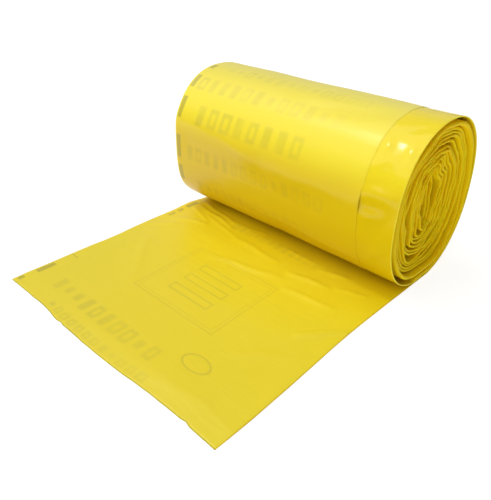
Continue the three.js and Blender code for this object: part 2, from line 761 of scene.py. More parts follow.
class WoundTurns(Web):
    """The turns inside the outermost one, down to the eye."""

    START_TURN = 0.97
    TURN_STEPS = 72
    FILLED = 0.86
    FOLLOWS_UP_TO = 3.6
    FOLLOWS_WHOLLY = 1.2

    def __init__(self, name: str, winding: Winding, place: Place, relief: FilmRelief) -> None:
        """Lays out the path of the wound turns.

        Args:
            name: the piece's name.
            winding: how the web is wound.
            place: where the roll lies.
            relief: the film's ridges and dents.
        """
        self.winding = winding
        self.place = place
        self.relief = relief
        self.round_rim = winding.arc(270.0)
        super().__init__(name, self.path(), Section(flat_columns=14, fold_steps=6))

    def path(self) -> list[Station]:
        """The middle of the web from inside the outermost turn to the eye.

        Returns:
            The stations of the path.
        """
        last_turn = self.winding.turns - 0.02
        steps = round((last_turn - self.START_TURN) * self.TURN_STEPS)
        places = []
        for step in range(steps + 1):
            turn = mixed(self.START_TURN, last_turn, step / steps)
            point, room = self.winding.place(turn)
            places.append((point, turn, self.FILLED * room))
        first, last = places[0], places[-1]
        places[0] = (first[0], first[1], 0.0)
        places[-1] = (last[0], last[1], 0.0)
        return with_lengths(places, 0.0)

    def edges(self, station: Station) -> tuple[float, float]:
        """The turn's left and right edge across the web.

        Args:
            station: the place along the web.

        Returns:
            Both places across the web, in metres.
        """
        half = self.winding.sizes.web_width / 2.0
        left = self.winding.set_back(station.turn, End.LEFT) - half
        return left, half - self.winding.set_back(station.turn, End.RIGHT)

    def lift(self, across: float, station: Station) -> float:
        """The web lies inside its path by half its thickness, and the outer turns follow the outermost.

        Args:
            across: the place across the web.
            station: the place along the web.

        Returns:
            A distance in metres, below 0 for inwards.
        """
        part = station.turn % 1.0
        along = self.winding.sizes.tail_reach + part * self.round_rim
        following = smooth_step(self.FOLLOWS_UP_TO, self.FOLLOWS_WHOLLY, station.turn)
        return following * self.relief.broad(across, along, part) - station.thickness / 2.0

    def placed(self, across: float, station: Station, point: Vector) -> Vector:
        """A point of the web in the object's frame."""
        return self.place.point(across, point.x, max(point.y, 0.0))


class Graph:
    """A node tree with short calls that add nodes and join them."""

    def __init__(self, tree: bpy.types.NodeTree) -> None:
        """Keeps the tree.

        Args:
            tree: the node tree to add to.
        """
        self.tree = tree

    def add(self, kind: str, inputs: dict | None = None, **settings: object) -> bpy.types.Node:
        """Adds a node.

        Args:
            kind: the node's type name.
            inputs: for each input socket a value, or an output socket to join to it.
            settings: the node's own properties.

        Returns:
            The new node.
        """
        node = self.tree.nodes.new(kind)
        for name, value in settings.items():
            setattr(node, name, value)
        for key, value in (inputs or {}).items():
            if isinstance(value, bpy.types.NodeSocket):
                self.tree.links.new(value, node.inputs[key])
            else:
                node.inputs[key].default_value = value
        return node

    def math(self, operation: str, *values: object) -> bpy.types.NodeSocket:
        """Adds a Math node.

        Args:
            operation: the node's operation.
            values: its inputs in order, as numbers or sockets.

        Returns:
            The node's output.
        """
        return self.add("ShaderNodeMath", dict(enumerate(values)), operation=operation).outputs[0]

    def step(self, value: object, low: object, high: object) -> bpy.types.NodeSocket:
        """Adds a soft step.

        Args:
            value: the number or socket to look at.
            low: where the step is 0.
            high: where the step is 1.

        Returns:
            The step's output, from 0 to 1.
        """
        inputs = {"Value": value, "From Min": low, "From Max": high}
        node = self.add("ShaderNodeMapRange", inputs, interpolation_type="SMOOTHSTEP", clamp=True)
        return node.outputs["Result"]

    def noise(self, vector: object, scale: float, detail: float = 2.0) -> bpy.types.NodeSocket:
        """Adds a Noise Texture and returns its value."""
        inputs = {"Vector": vector, "Scale": scale, "Detail": detail}
        return self.add("ShaderNodeTexNoise", inputs).outputs["Fac"]

    def stretched(self, vector: object, scale: tuple[float, float, float]) -> bpy.types.NodeSocket:
        """Adds a Mapping node that scales a vector."""
        return self.add("ShaderNodeMapping", {"Vector": vector, "Scale": scale}).outputs["Vector"]

    def mix(self, share: object, first: object, second: object) -> bpy.types.NodeSocket:
        """Adds a colour mix.

        Args:
            share: how much of the second colour to take.
            first: the first colour or socket.
            second: the second colour or socket.

        Returns:
            The mixed colour.
        """
        node = self.add("ShaderNodeMix", {0: share, 6: first, 7: second}, data_type="RGBA")
        return node.outputs[2]


@dataclass(frozen=True)
class GroupSockets:
    """The named inputs and outputs of a node group, each with its socket type."""

    inputs: dict[str, str]
    outputs: dict[str, str]


def new_group(name: str, sockets: GroupSockets) -> tuple[bpy.types.NodeTree, Graph, dict, bpy.types.Node]:
    """Starts a shader node group.

    Args:
        name: the group's name.
        sockets: its inputs and outputs.

    Returns:
        The group, its graph, its input sockets by name, and the node that takes its outputs.
    """
    group = bpy.data.node_groups.new(name, "ShaderNodeTree")
    for title, kind in sockets.inputs.items():
        group.interface.new_socket(title, in_out="INPUT", socket_type=kind)
    for title, kind in sockets.outputs.items():
        group.interface.new_socket(title, in_out="OUTPUT", socket_type=kind)
    graph = Graph(group)
    start = group.nodes.new("NodeGroupInput")
    end = group.nodes.new("NodeGroupOutput")
    return group, graph, {socket.name: socket for socket in start.outputs if socket.name}, end


FLOAT, VECTOR = "NodeSocketFloat", "NodeSocketVector"


def mask_group(
    name: str, titles: tuple[str, ...]
) -> tuple[bpy.types.NodeTree, Graph, dict, bpy.types.Node]:
    """Starts a group that turns numbers into one mask.

    Args:
        name: the group's name.
        titles: the names of its inputs.

    Returns:
        The same as new_group.
    """
    return new_group(name, GroupSockets({title: FLOAT for title in titles}, {"Mask": FLOAT}))


class PrintGroups:
    """The faint print that shows through the film, as node groups that other materials place."""

    SOFT_EDGE = 0.0020
    CRISP_EDGE = 0.0010
    LINE_EDGE = 0.0008
    PLACED = ("Across", "Along", "Centre Across", "Centre Along", "Half Across", "Half Along")
    ROW = ("Across", "Along", "Centre Along", "Half Height", "Left", "Right", "Pitch", "Seed")

    def __init__(self) -> None:
        """Builds the groups once."""
        self.bar = self.bar_group()
        self.row = self.row_group()
        self.frame = self.frame_group()
        self.oval = self.oval_group()

    def window(
        self, graph: Graph, value: object, centre: object, half: object, edge: float = SOFT_EDGE
    ) -> bpy.types.NodeSocket:
        """A mask that is 1 within half of a centre, with soft edges."""
        gap = graph.math("ABSOLUTE", graph.math("SUBTRACT", value, centre))
        return graph.step(graph.math("SUBTRACT", half, gap), -edge, edge)

    def line(self, graph: Graph, half: object, beyond: object) -> bpy.types.NodeSocket:
        """A thin line, by half its width and how far a place lies beside its middle."""
        return graph.step(graph.math("SUBTRACT", half, beyond), -self.LINE_EDGE, self.LINE_EDGE)

    def bar_group(self) -> bpy.types.NodeTree:
        """A plain bar at a place on the web.

        Returns:
            The group.
        """
        group, graph, given, end = mask_group("print_bar", self.PLACED)
        crisp = self.CRISP_EDGE
        wide = self.window(graph, given["Across"], given["Centre Across"], given["Half Across"], crisp)
        tall = self.window(graph, given["Along"], given["Centre Along"], given["Half Along"], crisp)
        group.links.new(graph.math("MULTIPLY", wide, tall), end.inputs["Mask"])
        return group

    def row_group(self) -> bpy.types.NodeTree:
        """A row of plain blocks of mixed widths across the web.

        Returns:
            The group.
        """
        group, graph, given, end = mask_group("print_row", self.ROW)
        cells = graph.math("DIVIDE", given["Across"], given["Pitch"])
        cell = graph.math("ADD", graph.math("FLOOR", cells), given["Seed"])
        chance = graph.add("ShaderNodeTexWhiteNoise", {"W": cell}, noise_dimensions="1D").outputs["Value"]
        inside = graph.math("SUBTRACT", graph.math("FRACT", cells), 0.5)
        inside = graph.math("MULTIPLY", inside, given["Pitch"])
        half = graph.math("MULTIPLY", graph.math("MULTIPLY_ADD", chance, 0.16, 0.24), given["Pitch"])
        tall = graph.math("MULTIPLY", graph.math("GREATER_THAN", chance, 0.14), given["Half Height"])
        tall = graph.math("MAXIMUM", tall, graph.math("MULTIPLY", given["Half Height"], 0.6))
        block = self.window(graph, inside, 0.0, half)
        band = self.window(graph, given["Along"], given["Centre Along"], tall)
        middle = graph.math("DIVIDE", graph.math("ADD", given["Left"], given["Right"]), 2.0)
        reach = graph.math("DIVIDE", graph.math("SUBTRACT", given["Right"], given["Left"]), 2.0)
        extent = self.window(graph, given["Across"], middle, reach)
        core_across = self.window(graph, inside, 0.0, graph.math("MULTIPLY", half, 0.42))
        waist = graph.math("MULTIPLY", given["Half Height"], 0.55)
        core_along = self.window(graph, given["Along"], given["Centre Along"], waist)
        open_ring = graph.math("MULTIPLY", core_across, core_along)
        open_ring = graph.math("MULTIPLY", open_ring, graph.math("GREATER_THAN", chance, 0.45))
        mask = graph.math("MULTIPLY", graph.math("MULTIPLY", block, band), extent)
        mask = graph.math("MULTIPLY", mask, graph.math("SUBTRACT", 1.0, open_ring))
        group.links.new(mask, end.inputs["Mask"])
        return group

    def oval_group(self) -> bpy.types.NodeTree:
        """A plain outlined oval at a place on the web.

        Returns:
            The group.
        """
        group, graph, given, end = mask_group("print_oval", (*self.PLACED, "Line"))
        wide = graph.math("SUBTRACT", given["Across"], given["Centre Across"])
        tall = graph.math("SUBTRACT", given["Along"], given["Centre Along"])
        wide = graph.math("DIVIDE", wide, given["Half Across"])
        tall = graph.math("DIVIDE", tall, given["Half Along"])
        square = graph.math("ADD", graph.math("MULTIPLY", wide, wide), graph.math("MULTIPLY", tall, tall))
        beyond = graph.math("ABSOLUTE", graph.math("SUBTRACT", graph.math("SQRT", square), 1.0))
        beyond = graph.math("MULTIPLY", beyond, given["Half Along"])
        group.links.new(self.line(graph, given["Line"], beyond), end.inputs["Mask"])
        return group

    def frame_group(self) -> bpy.types.NodeTree:
        """A plain outlined rectangle at a place on the web.

        Returns:
            The group.
        """
        group, graph, given, end = mask_group("print_frame", (*self.PLACED, "Line"))
        wide = graph.math("ABSOLUTE", graph.math("SUBTRACT", given["Across"], given["Centre Across"]))
        tall = graph.math("ABSOLUTE", graph.math("SUBTRACT", given["Along"], given["Centre Along"]))
        beyond_wide = graph.math("SUBTRACT", wide, given["Half Across"])
        beyond_tall = graph.math("SUBTRACT", tall, given["Half Along"])
        beyond = graph.math("ABSOLUTE", graph.math("MAXIMUM", beyond_wide, beyond_tall))
        group.links.new(self.line(graph, given["Line"], beyond), end.inputs["Mask"])
        return group


def creased_group() -> bpy.types.NodeTree:
    """The fine unevenness of thin film: long soft waves across the web and a few sharp hairlines.

    The patterns' scales are in waves a metre, across and along the web.

    Returns:
        A group with a Vector input and the outputs Height and Haze.
    """
    sockets = GroupSockets({"Vector": VECTOR}, {"Height": FLOAT, "Haze": FLOAT})
    group, graph, given, end = new_group("film_creases", sockets)
    waves = graph.noise(graph.stretched(given["Vector"], (18.0, 70.0, 1.0)), 1.0, 3.0)
    skin = graph.noise(graph.stretched(given["Vector"], (90.0, 160.0, 1.0)), 1.0, 2.0)
    pull = graph.add(
        "ShaderNodeTexNoise",
        {"Vector": graph.stretched(given["Vector"], (24.0, 10.0, 1.0)), "Scale": 1.0, "Detail": 2.0},
        noise_type="RIDGED_MULTIFRACTAL",
        normalize=True,
    )
    height = graph.math("MULTIPLY_ADD", skin, 0.10, graph.math("MULTIPLY", waves, 0.6))
    height = graph.math("MULTIPLY_ADD", pull.outputs["Fac"], 0.12, height)
    haze = graph.noise(graph.stretched(given["Vector"], (7.0, 5.0, 1.0)), 1.0, 3.0)
    group.links.new(height, end.inputs["Height"])
    group.links.new(haze, end.inputs["Haze"])
    return group


@dataclass(frozen=True)
class PrintRow:
    """A row of blocks: its place along the web, its ends across it, its size and its strength."""

    along: float
    left: float
    right: float
    half_height: float
    pitch: float
    strength: float
    seed: float

    def whole(self, end: float) -> float:
        """An end of the row moved to the next edge between two blocks."""
        return math.ceil(end / self.pitch) * self.pitch


@dataclass(frozen=True)
class PrintBar:
    """A plain dark bar near the web's left edge, by its centre and half sizes."""

    across: float
    along: float
    half_across: float
    half_along: float
    strength: float = 0.55


@dataclass(frozen=True)
class PrintOutline:
    """A thin plain outline, by its centre and half sizes and half its line's width."""

    across: float
    along: float
    half_across: float
    half_along: float
    line: float
    strength: float
    oval: bool = False


@dataclass(frozen=True)
class Zone:
    """A stretch of the leading bag on the roll, with soft ends.

    It is measured along the web from below the roll's axis, by its centre, how far from there it has
    gone, and how far from there it is full.
    """

    centre: float
    reach: float
    full: float


@dataclass(frozen=True)
class FilmFinish:
    """The finish of the yellow film. Where it is the outside of the roll its colours go by place, with
    painted light, sheen, reflection and shade.
    """

    name: str
    deep: tuple[float, float, float, float] = (0.86, 0.655, 0.004, 1.0)
    # Tone for the film's real haze patches, and for the painted reflection that pales the tail towards its
    # free end.
    haze_and_reflection_tone: tuple[float, float, float, float] = (0.82, 0.665, 0.024, 1.0)
    # Painted light: the brighter tone of the upper front and of the roll's side edges.
    painted_light: tuple[float, float, float, float] = (0.93, 0.775, 0.024, 1.0)
    # Painted sheen over the roll's top, mixed with the flap's real haze.
    haze_and_sheen: tuple[float, float, float, float] = (0.885, 0.765, 0.105, 1.0)
    # Painted shade: the darker tone of the low front and of the tail's side edges.
    painted_shade: tuple[float, float, float, float] = (0.75, 0.535, 0.001, 1.0)
    ink: tuple[float, float, float, float] = (0.30, 0.27, 0.045, 1.0)
    roughness: float = 0.34
    bump: float = 0.0007
    specular: float = 0.42
    glow: float = 0.0
    glow_radius: tuple[float, float, float] = (0.0045, 0.0028, 0.0003)
    outside: bool = True
    # Where the painted light (upper), the painted sheen (top) and the painted shade (lower) lie on the
    # roll.
    upper: Zone = Zone(0.275, 0.115, 0.045)
    top: Zone = Zone(0.215, 0.095, 0.025)
    lower: Zone = Zone(0.400, 0.080, 0.045)

    def material(
        self, creases: bpy.types.NodeTree, sizes: RollSizes, ink: "InkMask | None" = None
    ) -> bpy.types.Material:
        """Builds the film's material.

        Args:
            creases: the group of the film's fine unevenness.
            sizes: the roll's sizes.
            ink: the faint print, or None for film without it.

        Returns:
            The new material.
        """
        material = bpy.data.materials.new(self.name)
        material.use_nodes = True
        graph = Graph(material.node_tree)
        shader = material.node_tree.nodes["Principled BSDF"]
        web = graph.add("ShaderNodeUVMap", uv_map=WEB_MAP).outputs["UV"]
        place = graph.add("ShaderNodeSeparateXYZ", {"Vector": web})
        across, along = place.outputs["X"], place.outputs["Y"]
        film = graph.add("ShaderNodeGroup", {"Vector": web}, node_tree=creases)
        patches = graph.step(film.outputs["Haze"], 0.36, 0.66)
        colour = graph.mix(patches, self.deep, self.haze_and_reflection_tone)
        rough = graph.math("MULTIPLY_ADD", film.outputs["Haze"], 0.16, self.roughness - 0.08)
        if self.outside:
            bare = self.bare_band(graph, across, along, sizes)
            # The film's real haze in patches, plus a painted reflection that pales the tail towards its
            # free end.
            haze_and_reflection_share = self.haze_and_reflection(graph, along, patches, bare, sizes)
            colour = self.by_place(graph, along, bare, haze_and_reflection_share, sizes)
            # Along the web's side edges: painted shade on the tail and painted light on the roll.
            edge = graph.math("SUBTRACT", sizes.web_width / 2.0, graph.math("ABSOLUTE", across))
            rim = graph.step(edge, 0.0011, 0.0003)
            on_roll = graph.step(along, sizes.tail_reach, sizes.tail_reach + 0.02)
            colour = graph.mix(rim, colour, graph.mix(on_roll, self.painted_shade, self.painted_light))
            rough = graph.math("MULTIPLY_ADD", rim, 0.5, rough)
        if ink is not None:
            colour = graph.mix(ink.socket(graph, across, along), colour, self.ink)
        bump = graph.add("ShaderNodeBump", {"Height": film.outputs["Height"], "Distance": self.bump})
        material.node_tree.links.new(colour, shader.inputs["Base Color"])
        material.node_tree.links.new(rough, shader.inputs["Roughness"])
        material.node_tree.links.new(bump.outputs["Normal"], shader.inputs["Normal"])
        shader.inputs["IOR"].default_value = 1.5
        shader.inputs["Specular IOR Level"].default_value = self.specular
        shader.inputs["Subsurface Weight"].default_value = self.glow
        shader.inputs["Subsurface Radius"].default_value = self.glow_radius
        shader.inputs["Subsurface Scale"].default_value = 1.0
        return material

    def by_place(
        self, graph: Graph, along: object, bare: object, haze_and_reflection_share: object, sizes: RollSizes
    ) -> bpy.types.NodeSocket:
        """The outside's colour: brighter up the front with painted light, paler over the top with painted
        sheen and the flap's real haze, and deeper low down the front with painted shade.

        Args:
            graph: the material's nodes.
            along: the place along the web.
            bare: where the film is clear.
            haze_and_reflection_share: the share of the film's real haze and of painted reflection.
            sizes: the roll's sizes.

        Returns:
            The colour.
        """
        start = sizes.tail_reach
        colour = graph.mix(haze_and_reflection_share, self.deep, self.haze_and_reflection_tone)
        # Painted light: the upper front is brighter where the soft light falls, less so on the clear band.
        covered = graph.math("MULTIPLY_ADD", bare, -0.45, 0.9)
        upper = graph.math("MULTIPLY", self.mask(graph, along, start, self.upper), covered)
        colour = graph.mix(upper, colour, self.painted_light)
        # Painted sheen over the top of the roll, with the flap's real haze, none on the clear band.
        covered = graph.math("SUBTRACT", 1.0, bare)
        top = graph.math("MULTIPLY", self.mask(graph, along, start, self.top), covered)
        colour = graph.mix(top, colour, self.haze_and_sheen)
        # Painted shade: the low front takes the darker tone.
        lower = graph.math("MULTIPLY", self.mask(graph, along, start, self.lower), 0.9)
        return graph.mix(lower, colour, self.painted_shade)

    def mask(self, graph: Graph, along: object, start: float, zone: Zone) -> bpy.types.NodeSocket:
        """A zone as a mask from 0 to 1."""
        gap = graph.math("ABSOLUTE", graph.math("SUBTRACT", along, start + zone.centre))
        return graph.step(gap, zone.reach, zone.full)

    def bare_band(
        self, graph: Graph, across: object, along: object, sizes: RollSizes
    ) -> bpy.types.NodeSocket:
        """Where the roll isn't covered by the flap, so that its film is clear and shiny."""
        beside = graph.step(across, sizes.flap_edge - 0.001, sizes.flap_edge + 0.001)
        return graph.math("MULTIPLY", beside, graph.step(along, sizes.tail_reach, sizes.tail_reach + 0.03))

    def haze_and_reflection(
        self, graph: Graph, along: object, patches: object, bare: object, sizes: RollSizes
    ) -> bpy.types.NodeSocket:
        """The share of real haze and painted reflection: the haze in soft patches, the painted reflection
        most at the free end.

        Args:
            graph: the material's nodes.
            along: the place along the web.
            patches: the soft patches, from 0 to 1.
            bare: where the film is clear.
            sizes: the roll's sizes.

        Returns:
            A share from 0 to 1.
        """
        reach = sizes.tail_reach
        # Painted reflection: the tail is paler towards its free end, away from the roll.
        free_end = graph.math("MULTIPLY", graph.step(along, reach * 0.95, reach * 0.35), 0.75)
        haze_and_reflection_share = graph.math("MULTIPLY_ADD", patches, 0.35, free_end)
        return graph.math("MULTIPLY_ADD", bare, -0.6, haze_and_reflection_share)


@dataclass(frozen=True)
class InkMask:
    """Where the faint print shows through the film."""

    groups: PrintGroups
    rows: list[PrintRow]
    bars: list[PrintBar]
    outlines: list[PrintOutline]

    def socket(
        self, graph: Graph, across: bpy.types.NodeSocket, along: bpy.types.NodeSocket
    ) -> bpy.types.NodeSocket:
        """Adds the whole print to a material.

        Args:
            graph: the material's nodes.
            across: the place across the web.
            along: the place along the web.

        Returns:
            How much ink shows, from 0 to 1.
        """
        where = {"Across": across, "Along": along}
        total = None
        for row in self.rows:
            inputs = {"Centre Along": row.along, "Half Height": row.half_height, "Pitch": row.pitch}
            inputs.update({"Left": row.whole(row.left), "Right": row.whole(row.right), "Seed": row.seed})
            mask = graph.add("ShaderNodeGroup", None, node_tree=self.groups.row)
            total = self.joined(graph, mask, where | inputs, row.strength, total)
        total = graph.math("MULTIPLY", total, graph.math("MULTIPLY_ADD", across, -3.2, 0.78))
        web = graph.add("ShaderNodeCombineXYZ", {"X": across, "Y": along}).outputs["Vector"]
        patches = graph.step(graph.noise(web, 26.0), 0.30, 0.62)
        total = graph.math("MULTIPLY", total, graph.math("MULTIPLY_ADD", patches, 0.65, 0.5))
        for outline in self.outlines:
            inputs = self.centred(outline) | {"Line": outline.line}
            tree = self.groups.oval if outline.oval else self.groups.frame
            mask = graph.add("ShaderNodeGroup", None, node_tree=tree)
            total = self.joined(graph, mask, where | inputs, outline.strength, total)
        for bar in self.bars:
            mask = graph.add("ShaderNodeGroup", None, node_tree=self.groups.bar)
            total = self.joined(graph, mask, where | self.centred(bar), bar.strength, total)
        return total

    def centred(self, mark: PrintBar | PrintOutline) -> dict[str, float]:
        """A mark's centre and half sizes as inputs of its group."""
        centre = {"Centre Across": mark.across, "Centre Along": mark.along}
        return centre | {"Half Across": mark.half_across, "Half Along": mark.half_along}

    def joined(
        self, graph: Graph, node: bpy.types.Node, inputs: dict, strength: float, total: object
    ) -> object:
        """Sets a group's inputs and lays its mask over what is there.

        Args:
            graph: the material's nodes.
            node: the group's node.
            inputs: its values and sockets by name.
            strength: how dark the mask is.
            total: the masks so far, or None.

        Returns:
            The masks with this one.
        """
        for name, value in inputs.items():
            if isinstance(value, bpy.types.NodeSocket):
                graph.tree.links.new(value, node.inputs[name])
            else:
                node.inputs[name].default_value = value
        faint = graph.math("MULTIPLY", node.outputs["Mask"], strength)
        return faint if total is None else graph.math("MAXIMUM", total, faint)


@dataclass(frozen=True)
class Studio:
    """The plain pale floor, the soft light and the camera."""

    floor_size: float = 24.0
    world_strength: float = 0.24
    world_seen: float = 0.95
    floor_base: float = 0.3
    floor_glow: float = 0.82
    soft_strength: float = 1.88
    soft_angle: float = math.radians(75.0)
    soft_from: tuple[float, float, float] = (-0.34, -0.31, 0.885)
    key_strength: float = 0.40
    key_angle: float = math.radians(6.0)
    key_from: tuple[float, float, float] = (-0.435, -0.25, 0.865)
    sheen_strength: float = 0.24
    sheen_angle: float = math.radians(60.0)
    sheen_from: tuple[float, float, float] = (-0.55, 0.65, 0.52)
    fill_strength: float = 0.40
    fill_angle: float = math.radians(70.0)
    fill_from: tuple[float, float, float] = (-0.15, -0.86, 0.48)
    eye_place: tuple[float, float, float] = (0.3237, -0.4311, 0.2947)
    yaw: float = 0.775
    pitch: float = 0.5449
    tilt: float = 0.015
    lens: float = 38.18

    def floor(self) -> None:
        """Makes the floor."""
        mesh_data = bmesh.new()
        bmesh.ops.create_grid(mesh_data, x_segments=1, y_segments=1, size=self.floor_size / 2.0)
        mesh = bpy.data.meshes.new("floor")
        mesh_data.to_mesh(mesh)
        mesh_data.free()
        floor = bpy.data.objects.new("floor", mesh)
        bpy.context.scene.collection.objects.link(floor)
        material = bpy.data.materials.new("floor_white")
        material.use_nodes = True
        shader = material.node_tree.nodes["Principled BSDF"]
        base = self.floor_base
        shader.inputs["Base Color"].default_value = (base, base, base, 1.0)
        shader.inputs["Roughness"].default_value = 0.9
        shader.inputs["Specular IOR Level"].default_value = 0.1
        shader.inputs["Emission Color"].default_value = (1.0, 1.0, 1.0, 1.0)
        shader.inputs["Emission Strength"].default_value = self.floor_glow
        floor.data.materials.append(material)

    def lights(self) -> None:
        """Makes the white surroundings, the broad soft light from above and three lesser lights.

        The key light gives the highlights, the sheen light only gloss, and the fill light only shade.
        """
        world = bpy.data.worlds.new("studio")
        world.use_nodes = True
        graph = Graph(world.node_tree)
        seen = graph.add("ShaderNodeLightPath").outputs["Is Camera Ray"]
        ends = {"To Min": self.world_strength, "To Max": self.world_seen}
        strength = graph.add("ShaderNodeMapRange", {"Value": seen} | ends)
        background = world.node_tree.nodes["Background"]
        background.inputs["Color"].default_value = (1.0, 1.0, 1.0, 1.0)
        world.node_tree.links.new(strength.outputs["Result"], background.inputs["Strength"])
        bpy.context.scene.world = world
        self.lamp("soft_light", self.soft_strength, self.soft_angle, self.soft_from)
        self.lamp("key_light", self.key_strength, self.key_angle, self.key_from)
        sheen = self.lamp("sheen_light", self.sheen_strength, self.sheen_angle, self.sheen_from)
        sheen.visible_diffuse = False
        fill = self.lamp("fill_light", self.fill_strength, self.fill_angle, self.fill_from)
        fill.visible_glossy = False

    def lamp(
        self, name: str, strength: float, angle: float, came_from: tuple[float, float, float]
    ) -> bpy.types.Object:
        """Makes a far light.

        Args:
            name: the light's name.
            strength: its strength.
            angle: how wide it looks from the floor.
            came_from: the direction in which it stands.

        Returns:
            The new light.
        """
        sun = bpy.data.lights.new(name, "SUN")
        sun.energy = strength
        sun.angle = angle
        lamp = bpy.data.objects.new(name, sun)
        lamp.rotation_euler = Vector(came_from).to_track_quat("Z", "Y").to_euler()
        bpy.context.scene.collection.objects.link(lamp)
        return lamp

    def camera(self, place: Place) -> None:
        """Makes the camera at the photograph's viewing angle.

        Args:
            place: where the roll lies.
        """
        ahead = Vector((-math.sin(self.yaw) * math.cos(self.pitch),
                        math.cos(self.yaw) * math.cos(self.pitch),
                        -math.sin(self.pitch)))
        level = Vector((math.cos(self.yaw), math.sin(self.yaw), 0.0))
        upright = level.cross(ahead)
        right = level * math.cos(self.tilt) + upright * math.sin(self.tilt)
        above = upright * math.cos(self.tilt) - level * math.sin(self.tilt)
        camera = bpy.data.objects.new("camera", bpy.data.cameras.new("camera"))
        camera.data.lens = self.lens
        camera.data.sensor_width = 36.0
        camera.data.clip_start = 0.01
        turned = Matrix((right, above, -ahead)).transposed().to_4x4()
        turned.translation = place.point(*self.eye_place)
        camera.matrix_world = turned
        bpy.context.scene.collection.objects.link(camera)
        bpy.context.scene.camera = camera


